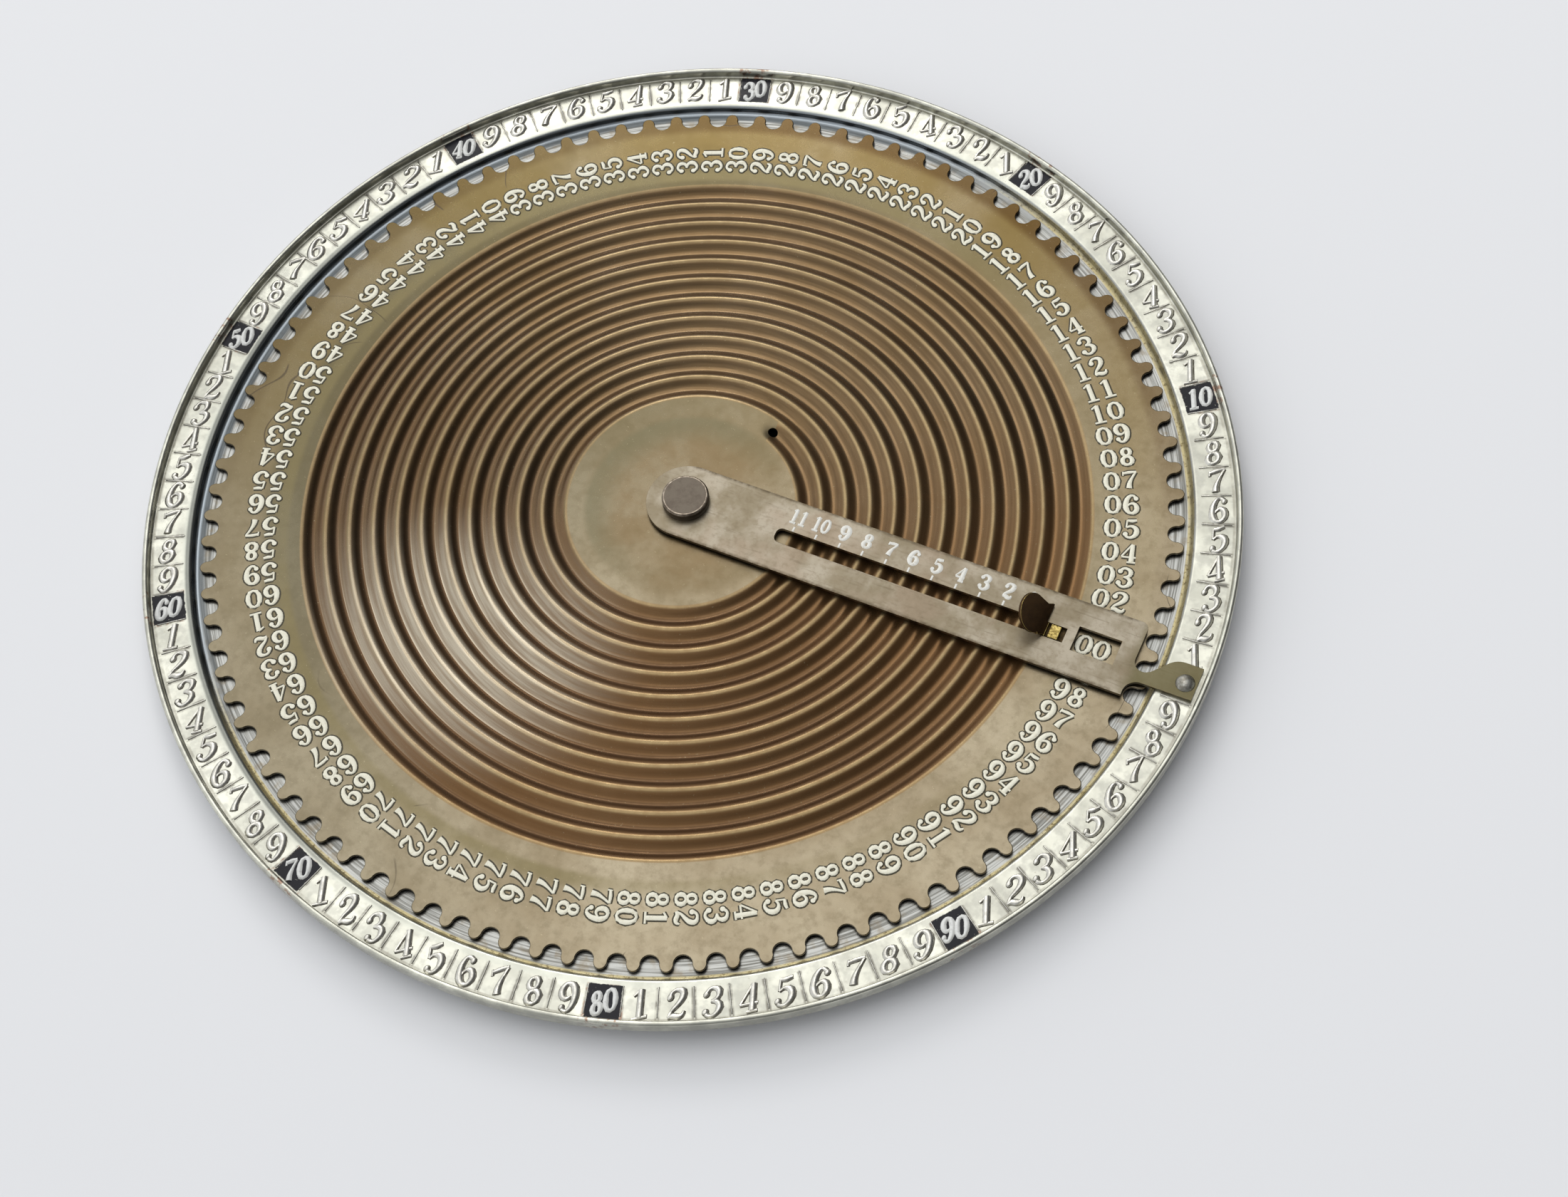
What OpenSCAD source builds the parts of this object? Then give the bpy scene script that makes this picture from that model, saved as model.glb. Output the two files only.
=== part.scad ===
// Disc adder: a numbered disc with a spiral groove, turned with a stylus in
// the ring of its pan, and an arm whose slider counts the turns.
// Origin: on the axis of the disc, at the flat underside of the pan.
// +Z is up, and the arm lies along +X. All sizes are in millimetres.

/* [Pan and number ring] */
// Overall diameter over the rim
rim_d = 178; // [170:1:186]
// Diameter where the ring turns down into the well
well_d = 162.4; // [160:0.1:164]
// Height of the flat number ring above the table
ring_z = 4.8; // [4.4:0.1:6]
// Thickness of the pan's sheet metal
pan_t = 0.6; // [0.4:0.1:0.8]
// Height of the rim above the number ring
rim_h = 1.5; // [0.8:0.1:2]
// Width of the rim, where the sheet is folded over on itself
rim_w = 0.95; // [0.8:0.05:1.4]
// How far the folded rim reaches below the top of the number ring
hem_drop = 1; // [0.8:0.1:2]
// Radius of the rounded edge between the ring and the well
shoulder_r = 1; // [0.8:0.1:1.5]
// Radius of the corner between the well's wall and its floor
well_corner_r = 1.2; // [0.8:0.1:2]
// Diameter of the raised seat in the middle of the floor
seat_d = 26; // [20:1:34]
// Height of the raised seat
seat_h = 1.6; // [1.5:0.1:1.8]
// Width of the slope round the raised seat
seat_slope = 2; // [1:0.1:4]

/* [Number disc] */
// Diameter over the tips between the notches
disc_d = 160; // [158:0.5:160.5]
// Depth of the disc's top face below the number ring
disc_drop = 0.6; // [0.5:0.1:0.8]
// Thickness of the disc's sheet metal
disc_t = 0.5; // [0.4:0.05:0.5]
// Number of notches
notch_count = 100; // [100:100:100]
// Radius at the bottom of a notch
notch_r = 1.42; // [1.2:0.02:1.5]
// Depth of a notch, from the tips to its bottom
notch_depth = 2.65; // [2.4:0.05:3]
// Width of a notch where it opens at the tips
notch_mouth = 3.9; // [3.4:0.1:4.2]
// Angle of a notch's middle behind its number, in degrees
notch_lag = 0.35; // [0:0.05:1]

/* [Spiral groove] */
// Distance from one turn of the groove to the next
groove_pitch = 3.97; // [3.9:0.01:4]
// Radius of the groove's middle where the counter starts from 0
groove_start_r = 63.7; // [62:0.1:64]
// Turns that the disc makes from one end of the groove to the other
groove_turns = 11.189; // [11.15:0.001:11.22]
// Depth of the groove
groove_depth = 1.2; // [1:0.1:1.3]
// Width of the groove at the disc's top face
groove_w = 3.4; // [3.2:0.1:3.5]
// Diameter of the hole at the groove's inner end
end_hole_d = 1.6; // [1.4:0.1:1.8]

/* [Pivot] */
// Diameter of the pivot stud's head
head_d = 7.7; // [7:0.1:9]
// Height of the pivot stud's head
head_h = 1.7; // [1.2:0.1:2.2]
// Diameter of the pivot stud's shank
shank_d = 4.4; // [4:0.1:5]
// Diameter of the pivot stud's tail, which is riveted under the pan
tail_d = 3; // [2.6:0.1:3.4]

/* [Arm] */
// Width of the arm
arm_w = 13.1; // [12:0.1:14]
// Thickness of the arm
arm_t = 0.6; // [0.5:0.1:0.8]
// Distance from the pivot to the end of the arm's broad part
arm_len = 76.95; // [76:0.05:78]
// Distance from the pivot to the end of the finger
finger_len = 87.25; // [86.5:0.05:87.4]
// Distance from the pivot to the inner end of the slot
slot_x0 = 16; // [15:0.1:16.5]
// Distance from the pivot to the outer end of the slot
slot_x1 = 65.4; // [65.2:0.1:66]
// Width of the slot
slot_w = 2.6; // [2.4:0.1:2.8]
// Distance of the slot's middle from the arm's middle line
slot_y = -0.25; // [-0.4:0.05:0]
// Distance from the pivot to the window's inner edge
window_x = 67; // [66.6:0.1:67.4]
// Length of the window along the arm
window_l = 7; // [6.4:0.1:7.4]
// Width of the window across the arm
window_w = 4.4; // [4:0.1:4.8]
// Distance of the finger's rivet from the pivot, along the arm
rivet_x = 85.4; // [84.8:0.1:85.6]
// Distance of the finger's rivet from the arm's middle line
rivet_y = -1.05; // [-1.4:0.05:-0.8]
// Diameter of the rivet's round head
rivet_d = 3.1; // [2.8:0.1:3.4]

/* [Slider] */
// Distance of the tab's face, which points at the scale, from the pivot at 0
index_x = 62.4; // [62.2:0.1:62.6]
// Height of the tab above the arm
tab_h = 5.8; // [5:0.1:7]
// Lean of the tab towards the pivot, in degrees
tab_lean = 35; // [28:1:40]
// Thickness of the tab's sheet metal
tab_t = 0.5; // [0.4:0.1:0.6]
// Diameter of the tab's round top
tab_d = 6.2; // [5.6:0.1:6.6]
// Length of the guide block along the slot
block_l = 1.7; // [1.5:0.1:1.9]
// Diameter of the follower pin that runs in the groove
follower_d = 1.6; // [1.4:0.1:1.7]
// Depth of the follower pin's tip below the disc's top face
follower_reach = 0.8; // [0.6:0.1:0.9]

/* [Hidden] */
$fn = 96;

// Clearance that leaves a moving piece free of its neighbour
free_gap = 0.1;
// Radial clearance of a shaft that turns or slides in its hole
run_gap = 0.05;
// Radial gap of a shank that fills its hole, left so that the two don't cut
fit_gap = 0.02;

rim_r = rim_d / 2;
well_r = well_d / 2;
seat_r = seat_d / 2;
// Levels, from the table up
disc_z = ring_z - disc_drop;
disc_under = disc_z - disc_t;
arm_z = ring_z;
arm_top = arm_z + arm_t;
seat_top = seat_h + pan_t;

disc_r = disc_d / 2;
notch_x = disc_r - notch_depth + notch_r;
tip_half_w = (2 * PI * disc_r / notch_count - notch_mouth) / 2;

// The groove's section is an arc whose middle is above the disc
groove_arc = (pow(groove_w / 2, 2) + pow(groove_depth, 2)) / (2 * groove_depth);
groove_z = disc_z - groove_depth + groove_arc;
// The groove starts a little behind the follower and ends a little past it
groove_lead = 2;
groove_tail = 3.8;
groove_end = 360 * groove_turns;
// Reach of the fillings at the groove's ends past the first quarter, in degrees
end_wall = 1.5;
plug_drop = 0.02;
// The quarters of the spiral start behind the groove's own start
spiral_lead = groove_lead + end_wall;
end_step = groove_end % 360 + spiral_lead + groove_tail;
last_turn = floor(groove_turns);
// Flat middle and flat number band that the quarters of the spiral run into
flat_in = 14.5;
flat_out = 69;

hub_r = shank_d / 2 + run_gap;
bush_r = 3.2;
bush_flange_r = 5;
bush_flange_t = 0.5;
washer_t = 0.5;
spring_t = 0.3;
spacer_r = 4;
spacer_t = arm_z - disc_z - 2 * free_gap;
tail_head_r = 2.6;
tail_head_h = 0.7;
tail_z = seat_h - washer_t - tail_head_h;
rivet_shank_r = 0.8;
rivet_washer_t = 0.4;
rivet_head_h = 0.8;

plate_t = 0.35;
plate_z = arm_z - free_gap - plate_t;
block_x = groove_start_r;
slot_play = free_gap;

// A quarter of the spiral is turned about its own corner of a small square.
// Each corner is a quarter of the pitch from the last, so the arcs join
// without a step and the groove draws in by one pitch a turn.
function spiral_corner(q) =
    let (c = groove_pitch / 8)
    [[c, -c], [c, c], [-c, c], [-c, -c]][q % 4];
function spiral_r(q) =
    groove_start_r + groove_pitch * (spiral_lead / 360 - 1 / 8 - q / 4);

module ring_strip(r0, r1, z0, z1) {
    translate([r0, z0]) square([r1 - r0, z1 - z0]);
}

// A quarter of a ring, from 0 to 90 degrees about its own middle
module bend(inner, outer) {
    difference() {
        intersection() {
            circle(r = outer);
            square(outer);
        }
        circle(r = inner);
    }
}

// Section of the pan, from its hole out to the folded rim
module pan_section() {
    corner_out = well_corner_r + pan_t;
    shoulder_in = shoulder_r - pan_t;
    wall_out = well_r + pan_t;
    floor_end = wall_out - corner_out;
    ring_start = well_r + shoulder_r;
    rim_in = rim_r - rim_w;
    ring_strip(tail_d / 2 + fit_gap, seat_r, seat_h, seat_top);
    polygon([[seat_r, seat_h], [seat_r + seat_slope, 0], [seat_r + seat_slope, pan_t],
             [seat_r, seat_top]]);
    ring_strip(seat_r + seat_slope, floor_end, 0, pan_t);
    translate([floor_end, corner_out]) mirror([0, 1]) bend(well_corner_r, corner_out);
    ring_strip(well_r, wall_out, corner_out, ring_z - shoulder_r);
    translate([ring_start, ring_z - shoulder_r]) mirror([1, 0]) bend(shoulder_in, shoulder_r);
    ring_strip(ring_start, rim_in, ring_z - pan_t, ring_z);
    ring_strip(rim_in, rim_r, ring_z - hem_drop, ring_z + rim_h - rim_w / 2);
    translate([rim_r - rim_w / 2, ring_z + rim_h - rim_w / 2]) circle(d = rim_w);
}

module dial_pan() {
    color("gainsboro")
        difference() {
            rotate_extrude() pan_section();
            translate([rivet_x, rivet_y, ring_z - hem_drop])
                cylinder(r = rivet_shank_r + fit_gap, h = 2 * hem_drop);
        }
}

module groove_circle(q, k, r) {
    translate([spiral_r(q) - k * groove_pitch, groove_z]) circle(r = r);
}

// Section of the sheet, with the walls of some turns and the hollows of some
module groove_section(q, walls, hollows) {
    difference() {
        union() {
            ring_strip(flat_in - 2, flat_out + 2, disc_under, disc_z);
            intersection() {
                ring_strip(flat_in - 2, flat_out + 2, 0, disc_z);
                for (k = walls) groove_circle(q, k, groove_arc + disc_t);
            }
        }
        for (k = hollows) groove_circle(q, k, groove_arc);
    }
}

module spiral_sweep(q, from, to) {
    rotate(-spiral_lead) translate(concat(spiral_corner(q), 0))
        rotate(from + 90 * q) rotate_extrude(angle = to - from) children();
}

module quarter(q) {
    turns = [0 : last_turn - (q == 0 ? 0 : 1)];
    spiral_sweep(q, 0, 90) groove_section(q, turns, turns);
}

// Fills a stretch of one turn of the groove beyond its end. The filling's top is
// a hair below the disc's face, so the two faces stay apart.
module groove_plug(k, from, to) {
    spiral_sweep(0, from, to)
        intersection() {
            groove_circle(0, k, groove_arc + disc_t / 2);
            ring_strip(flat_in, flat_out, 0, disc_z - plug_drop);
        }
}

// The four quarters, trimmed to a true ring for the flat parts to join
module grooved_sheet() {
    intersection() {
        union() {
            union() {
                quarter(0);
                quarter(1);
            }
            union() {
                quarter(2);
                quarter(3);
            }
        }
        washer(flat_in, flat_out, 0, disc_z + 1);
    }
}

// One notch, with its mouth opening out towards the rim
module notch() {
    translate([notch_x, 0]) circle(r = notch_r);
    polygon([[notch_x, -notch_r], [disc_r + 1, -notch_mouth / 2 - 0.3],
             [disc_r + 1, notch_mouth / 2 + 0.3], [notch_x, notch_r]]);
}

module toothed_band() {
    linear_extrude(disc_t)
        difference() {
            circle(r = disc_r, $fn = 200);
            circle(r = flat_out, $fn = 200);
            for (i = [0 : notch_count - 1])
                rotate(i * 360 / notch_count - notch_lag) notch();
        }
}

module number_disc() {
    end_r = groove_start_r - groove_turns * groove_pitch;
    color("peru")
        difference() {
            union() {
                union() {
                    union() {
                        union() {
                            grooved_sheet();
                            groove_plug(0, -end_wall, end_wall);
                        }
                        groove_plug(last_turn, end_step, 90 + end_wall);
                    }
                    translate([0, 0, disc_under]) toothed_band();
                }
                translate([0, 0, disc_under]) cylinder(r = flat_in, h = disc_t);
            }
            translate([0, 0, disc_under - 1]) cylinder(r = bush_r + fit_gap, h = disc_t + 2);
            rotate(groove_end % 360) translate([end_r, 0, 0]) cylinder(d = end_hole_d, h = ring_z);
        }
}

// Brass bush riveted in the disc, with its flange underneath
module disc_bush() {
    color("goldenrod")
        translate([0, 0, disc_under - bush_flange_t])
            difference() {
                union() {
                    cylinder(r = bush_flange_r, h = bush_flange_t);
                    cylinder(r = bush_r, h = bush_flange_t + disc_t);
                }
                translate([0, 0, -1]) cylinder(r = hub_r, h = 3);
            }
}

module washer(inner, outer, z, t) {
    translate([0, 0, z])
        difference() {
            cylinder(r = outer, h = t);
            translate([0, 0, -1]) cylinder(r = inner, h = t + 2);
        }
}

module thrust_washer() {
    color("silver") washer(hub_r, bush_flange_r + 1, seat_top, washer_t);
}

// Dished washer that presses the disc up, so that it turns with some drag
module spring_washer() {
    low = seat_top + washer_t;
    high = disc_under - bush_flange_t - run_gap;
    color("silver")
        rotate_extrude()
            polygon([[hub_r + 0.2, high - spring_t], [bush_flange_r - 0.6, low],
                     [bush_flange_r, low], [bush_flange_r, low + spring_t],
                     [bush_flange_r - 0.6, low + spring_t], [hub_r + 0.2, high]]);
}

module arm_spacer() {
    color("silver")
        washer(shank_d / 2 + fit_gap, spacer_r, arm_z - spacer_t, spacer_t);
}

// Stud that holds the arm, carries the disc and is riveted under the pan
module pivot_stud() {
    edge = 0.25;
    color("dimgray")
        rotate_extrude()
            polygon([[0, tail_z], [tail_head_r, tail_z], [tail_head_r, tail_z + tail_head_h],
                     [tail_d / 2, tail_z + tail_head_h], [tail_d / 2, seat_top],
                     [shank_d / 2, seat_top], [shank_d / 2, arm_top], [head_d / 2, arm_top],
                     [head_d / 2, arm_top + head_h - edge],
                     [head_d / 2 - edge, arm_top + head_h], [0, arm_top + head_h]]);
}

module stud_washer() {
    color("silver") washer(tail_d / 2 + fit_gap, 4.5, seat_h - washer_t, washer_t);
}

// Outline of the finger, which lies on the ring at its 0
module finger_outline() {
    hump_r = 3.3;
    hump_x = 84.4;
    neck_low = -3.55;
    upper_cut_r = 1.65;
    lower_cut_r = 2.27;
    top = 2.3;
    difference() {
        union() {
            polygon([[arm_len - 1, neck_low], [finger_len, neck_low], [finger_len, top],
                     [hump_x, top], [hump_x - hump_r * sin(45), top - hump_r * (1 - cos(45))],
                     [arm_len + 2.9, -upper_cut_r + 0.45], [arm_len + 2, -upper_cut_r],
                     [arm_len, 0], [arm_len - 1, 0]]);
            translate([arm_len, -upper_cut_r]) square([upper_cut_r, upper_cut_r]);
            intersection() {
                translate([hump_x, top - hump_r]) circle(r = hump_r);
                translate([hump_x - hump_r, top - hump_r]) square(hump_r);
            }
            translate([arm_len - 1, neck_low - lower_cut_r]) square([lower_cut_r + 1, lower_cut_r + 1]);
        }
        translate([arm_len + upper_cut_r, 0]) circle(r = upper_cut_r);
        translate([arm_len + lower_cut_r, neck_low - lower_cut_r]) circle(r = lower_cut_r);
    }
}

module arm_outline() {
    corner_r = 1.2;
    union() {
        circle(d = arm_w);
        translate([0, -arm_w / 2]) square([arm_len - corner_r, arm_w]);
        translate([arm_len - corner_r - 1, -arm_w / 2]) square([corner_r + 1, arm_w - corner_r]);
        translate([arm_len - corner_r, arm_w / 2 - corner_r]) circle(r = corner_r);
        finger_outline();
    }
}

// The slot is rounded at its inner end and square at its outer end
module slot_outline() {
    end_r = 1;
    y0 = slot_y - slot_w / 2;
    translate([slot_x0 + end_r, y0]) square([slot_x1 - slot_x0 - end_r, slot_w]);
    translate([slot_x0, y0 + end_r]) square([2 * end_r, slot_w - 2 * end_r]);
    for (y = [y0 + end_r, y0 + slot_w - end_r]) translate([slot_x0 + end_r, y]) circle(r = end_r);
}

module index_arm() {
    color("rosybrown")
        translate([0, 0, arm_z])
            linear_extrude(arm_t)
                difference() {
                    arm_outline();
                    slot_outline();
                    translate([window_x, -window_w / 2 - 0.05]) square([window_l, window_w]);
                    circle(d = shank_d + 2 * fit_gap);
                    translate([rivet_x, rivet_y]) circle(r = rivet_shank_r + fit_gap);
                }
}

// Round-headed rivet through the finger and the ring
module arm_rivet() {
    cap_r = (pow(rivet_d / 2, 2) + pow(rivet_head_h, 2)) / (2 * rivet_head_h);
    under = ring_z - pan_t - rivet_washer_t;
    tail_h = 0.5;
    color("gainsboro")
        translate([rivet_x, rivet_y, 0]) {
            translate([0, 0, under]) cylinder(r = rivet_shank_r, h = arm_top - under + 0.2);
            translate([0, 0, under - tail_h]) cylinder(r = 1.3, h = tail_h);
            intersection() {
                translate([0, 0, arm_top + rivet_head_h - cap_r]) sphere(r = cap_r);
                translate([0, 0, arm_top]) cylinder(r = rivet_d, h = rivet_head_h + 1);
            }
        }
}

module rivet_washer() {
    color("gainsboro")
        translate([rivet_x, rivet_y, 0])
            washer(rivet_shank_r + fit_gap, 1.8, ring_z - pan_t - rivet_washer_t, rivet_washer_t);
}

// Plate that slides under the arm and holds the block, the tab and the pin
module slider_plate() {
    plate_w = 4.6;
    color("goldenrod")
        translate([index_x - tab_t - 1.2, slot_y - plate_w / 2, plate_z])
            cube([block_l + 3.6, plate_w, plate_t]);
}

module slider_block() {
    top = arm_top + 0.1;
    block_w = slot_w - 2 * slot_play;
    color("gold")
        translate([block_x - block_l / 2, slot_y - block_w / 2, plate_z + plate_t])
            cube([block_l, block_w, top - plate_z - plate_t]);
}

// Outline of the tab, seen along the arm: a round top on a stem in the slot,
// and a toe that rests over the arm on one side
module tab_outline() {
    stem_w = slot_w - 2 * slot_play;
    reach = tab_h / cos(tab_lean);
    centre = reach - tab_d / 2;
    centre_y = 0.15;
    toe_y = 4.1;
    // The leaning tab's back edge clears the arm wherever it is wider than the slot
    lift = (free_gap + tab_t * sin(tab_lean)) / cos(tab_lean);
    translate([centre_y, centre]) circle(d = tab_d);
    polygon([[slot_y - stem_w / 2, 0], [slot_y - stem_w / 2, lift], [-2.1, 1.4],
             [centre_y, centre], [centre_y + tab_d / 2, centre], [3.4, 1.8],
             [toe_y, lift + 0.3], [toe_y, lift], [slot_y + stem_w / 2, lift],
             [slot_y + stem_w / 2, 0]]);
}

module slider_tab() {
    stem_w = slot_w - 2 * slot_play;
    color("saddlebrown") {
        translate([index_x - tab_t, slot_y - stem_w / 2, plate_z + plate_t])
            cube([tab_t, stem_w, arm_top - plate_z - plate_t + 0.1]);
        translate([index_x, 0, arm_top])
            rotate([0, -tab_lean, 0]) rotate([90, 0, 90]) translate([0, 0, -tab_t])
                linear_extrude(tab_t) tab_outline();
    }
}

module follower_pin() {
    tip = disc_z - follower_reach;
    edge = 0.2;
    color("goldenrod")
        translate([block_x, 0, 0])
            rotate_extrude()
                polygon([[0, tip], [follower_d / 2 - edge, tip], [follower_d / 2, tip + edge],
                         [follower_d / 2, plate_z], [0, plate_z]]);
}

dial_pan();
number_disc();
disc_bush();
thrust_washer();
spring_washer();
arm_spacer();
pivot_stud();
stud_washer();
index_arm();
arm_rivet();
rivet_washer();
slider_plate();
slider_block();
slider_tab();
follower_pin();
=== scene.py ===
import math

import bmesh
import bpy
from mathutils import Matrix, Vector


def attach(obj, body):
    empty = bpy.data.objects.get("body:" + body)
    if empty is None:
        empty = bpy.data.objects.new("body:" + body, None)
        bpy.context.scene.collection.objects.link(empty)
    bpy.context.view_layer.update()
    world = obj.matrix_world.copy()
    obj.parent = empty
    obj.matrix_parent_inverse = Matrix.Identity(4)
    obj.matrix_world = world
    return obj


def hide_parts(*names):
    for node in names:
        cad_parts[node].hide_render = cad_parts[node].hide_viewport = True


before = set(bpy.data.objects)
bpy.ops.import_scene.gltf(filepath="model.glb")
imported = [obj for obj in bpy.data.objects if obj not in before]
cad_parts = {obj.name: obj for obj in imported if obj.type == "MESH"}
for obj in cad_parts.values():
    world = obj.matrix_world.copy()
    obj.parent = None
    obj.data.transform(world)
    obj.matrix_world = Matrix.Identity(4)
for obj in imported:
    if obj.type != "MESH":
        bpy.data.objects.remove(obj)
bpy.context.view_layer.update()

# Sizes in millimetres, as in the solids. Meshes are made in metres.
MM = 0.001
EACH = 3.6  # degrees from one number to the next

# the pan
RIM_R = 89.0
RIM_Z = 6.3
RING_Z = 4.8
RING_LAG = 0.95  # degrees by which the ring's boxes lie behind the disc's numbers
PAN_T = 0.6
SEAT_Z = 1.6
SHELF_Z = 3.2
TAIL_R = 1.52  # the hole for the stud's tail

# the disc
DISC_Z = 4.2
DISC_T = 0.5
BORE_R = 3.22
NOTCH_LAG = 0.35
PITCH = 3.97
GROOVE_R = 63.7
GROOVE_TURNS = 11.189
GROOVE_END = 360 * GROOVE_TURNS
WAVE_DEPTH = 0.86
SPIRAL_OUT = 69.0
SPIRAL_IN = 14.5

# the arm
ARM_TOP = 5.4


# Shaping tools


def deselect():
    if bpy.context.object and bpy.context.object.mode != "OBJECT":
        bpy.ops.object.mode_set(mode="OBJECT")
    bpy.ops.object.select_all(action="DESELECT")


def pick(*objects):
    deselect()
    for obj in objects:
        obj.select_set(True)
    bpy.context.view_layer.objects.active = objects[0]


def settle(obj):
    """Puts the object's place, turn and scale into its mesh."""
    pick(obj)
    bpy.ops.object.transform_apply(location=True, rotation=True, scale=True)


def join(objects, name):
    pick(*objects)
    if len(objects) > 1:
        bpy.ops.object.join()
    obj = bpy.context.object
    obj.name = name
    settle(obj)
    return obj


def modify(obj, kind, **settings):
    pick(obj)
    modifier = obj.modifiers.new(kind.title(), kind)
    for key, value in settings.items():
        setattr(modifier, key, value)
    bpy.ops.object.modifier_apply(modifier=modifier.name)


def smooth(obj, degrees=35):
    """Smooth shading in which the broad flat faces stay flat."""
    pick(obj)
    bpy.ops.object.shade_smooth_by_angle(angle=math.radians(degrees))
    modify(obj, "WEIGHTED_NORMAL", mode="FACE_AREA", weight=100, keep_sharp=True)


def choose(obj, edges, wanted):
    """In edit mode, selects the edges or the faces for which wanted is true."""
    bpy.ops.mesh.select_mode(type="EDGE" if edges else "FACE")
    bpy.ops.mesh.select_all(action="DESELECT")
    mesh = bmesh.from_edit_mesh(obj.data)
    for item in mesh.edges if edges else mesh.faces:
        if wanted(item):
            item.select_set(True)
    bmesh.update_edit_mesh(obj.data)


def clean(obj, gap=0.002, outward=True):
    """Merges doubled points and points the faces outwards."""
    pick(obj)
    bpy.ops.object.mode_set(mode="EDIT")
    bpy.ops.mesh.select_all(action="SELECT")
    bpy.ops.mesh.remove_doubles(threshold=gap * MM)
    bpy.ops.mesh.delete_loose()
    if outward:
        bpy.ops.mesh.select_all(action="SELECT")
        bpy.ops.mesh.normals_make_consistent(inside=False)
    bpy.ops.object.mode_set(mode="OBJECT")


def wire(name, points, closed=False):
    """A wire through points (x, z) in the XZ plane."""
    deselect()
    bpy.ops.mesh.primitive_circle_add(vertices=len(points), radius=MM)
    obj = bpy.context.object
    obj.name = name
    for vertex, (x, z) in zip(obj.data.vertices, points):
        vertex.co = Vector((x, 0, z)) * MM
    if not closed:
        ends = {0, len(points) - 1}
        bpy.ops.object.mode_set(mode="EDIT")
        choose(obj, True, lambda edge: {v.index for v in edge.verts} == ends)
        bpy.ops.mesh.delete(type="EDGE")
        bpy.ops.object.mode_set(mode="OBJECT")
    return obj


def spin(obj, steps, copies=False, degrees=360):
    """Turns the mesh about Z, as a surface or as separate copies."""
    pick(obj)
    bpy.ops.object.mode_set(mode="EDIT")
    bpy.ops.mesh.select_all(action="SELECT")
    bpy.ops.mesh.spin(steps=steps, dupli=copies, angle=math.radians(degrees),
                      center=(0, 0, 0), axis=(0, 0, 1))
    bpy.ops.object.mode_set(mode="OBJECT")


def blank(name, outline, z):
    """A flat face with the outline (x, y), at the height z."""
    deselect()
    bpy.ops.mesh.primitive_circle_add(vertices=len(outline), radius=MM, fill_type="NGON")
    obj = bpy.context.object
    obj.name = name
    for vertex, (x, y) in zip(obj.data.vertices, outline):
        vertex.co = Vector((x, y, z)) * MM
    return obj


def arc(cx, cy, r, start, end, count):
    turn = [math.radians(start + (end - start) * i / count) for i in range(count + 1)]
    return [(cx + r * math.cos(a), cy + r * math.sin(a)) for a in turn]


def polar(r, degrees):
    return r * math.cos(math.radians(degrees)), r * math.sin(math.radians(degrees))


def two_slots(obj):
    """Places for two finishes: the body's, and that of the rounded edges."""
    for _ in range(2):
        obj.data.materials.append(None)


def from_solid(node, name, edge):
    """A copy of a solid with its sharp edges rounded; the roundings take the second finish."""
    pick(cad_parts[node])
    bpy.ops.object.duplicate()
    obj = bpy.context.object
    obj.name = name
    for key in list(obj.keys()):  # the copy isn't a node of the frame
        del obj[key]
    obj.parent = None
    obj.matrix_world = Matrix()
    obj.data.materials.clear()
    clean(obj, 0.001, outward=False)
    pick(obj)
    bpy.ops.object.mode_set(mode="EDIT")
    bpy.ops.mesh.select_all(action="SELECT")
    bpy.ops.mesh.dissolve_limited(angle_limit=math.radians(1))
    bpy.ops.object.mode_set(mode="OBJECT")
    two_slots(obj)
    modify(obj, "BEVEL", width=edge * MM, segments=2, limit_method="ANGLE",
           angle_limit=math.radians(40), material=1)
    smooth(obj)
    return obj


def dress(obj, body, finishes, nodes=()):
    """Gives a piece its finishes, hangs it on the body that carries it, and hides the solids it stands for.
    """
    finishes = finishes if isinstance(finishes, list) else [finishes]
    if len(obj.data.materials) == len(finishes):
        for i, finish in enumerate(finishes):
            obj.data.materials[i] = finish
    else:
        obj.data.materials.clear()
        for finish in finishes:
            obj.data.materials.append(finish)
    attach(obj, body)
    if nodes:
        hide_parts(*nodes)
    return obj


def dress_node(node, finish):
    """Gives a solid that stays as it is its finish."""
    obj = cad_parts[node]
    if not obj.material_slots:
        obj.data.materials.append(finish)
    for socket in obj.material_slots:
        socket.material = finish


# Finishes


def tone(red, green, blue):
    """A colour as a screen shows it, 0 to 255, in light values."""
    shares = (red / 255, green / 255, blue / 255)
    return tuple(c / 12.92 if c <= 0.04045 else ((c + 0.055) / 1.055) ** 2.4 for c in shares)


class Wire:
    """A shader value that Python's own operators work on."""

    def __init__(self, finish, socket):
        self.finish, self.socket = finish, socket

    def math(self, operation, *values):
        return self.finish.node("ShaderNodeMath", values, operation=operation)

    def __add__(self, other):
        return self.math("ADD", self, other)

    def __sub__(self, other):
        return self.math("SUBTRACT", self, other)

    def __rsub__(self, other):
        return self.math("SUBTRACT", other, self)

    def __mul__(self, other):
        return self.math("MULTIPLY", self, other)

    def __truediv__(self, other):
        return self.math("DIVIDE", self, other)

    def __pow__(self, other):
        return self.math("POWER", self, other)

    def __mod__(self, other):
        return self.math("FLOORED_MODULO", self, other)

    def __abs__(self):
        return self.math("ABSOLUTE", self)

    __radd__ = __add__
    __rmul__ = __mul__


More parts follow.
